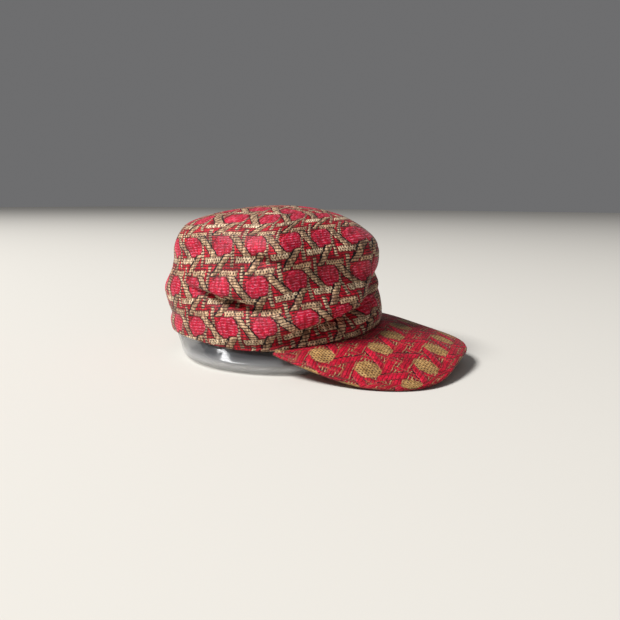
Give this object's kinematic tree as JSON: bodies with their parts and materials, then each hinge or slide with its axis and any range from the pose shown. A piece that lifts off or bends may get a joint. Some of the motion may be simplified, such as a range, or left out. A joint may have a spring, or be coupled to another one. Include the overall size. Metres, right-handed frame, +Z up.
{
  "type": "peaked cap on a display form",
  "caption": "Soft, slouching peaked cap of cloth woven like chair caning, with a cloth-covered peak in reversed colours, resting on a low oval plastic form.",
  "frame": {"origin": "middle of the outline on the surface that the form and the cap stand on", "axes": "+Y toward the back of the cap, so the peak points to -Y; +Z up; +X across the cap, away from the side that slumps lowest"},
  "size_m": [0.175, 0.2756, 0.133],
  "materials": {
    "crown_cloth": "jacquard cloth of red and gold yarn, cane pattern with red octagons and gold strips",
    "peak_cloth": "the same cloth with its colours reversed, red strips and gold octagons",
    "clear_plastic": "thin glossy plastic, nearly clear"
  },
  "bodies": {
    "root": {"crown_wall": "crown_cloth", "crown_top": "crown_cloth", "peak": "peak_cloth", "display_form": "clear_plastic"}
  },
  "joints": []
}
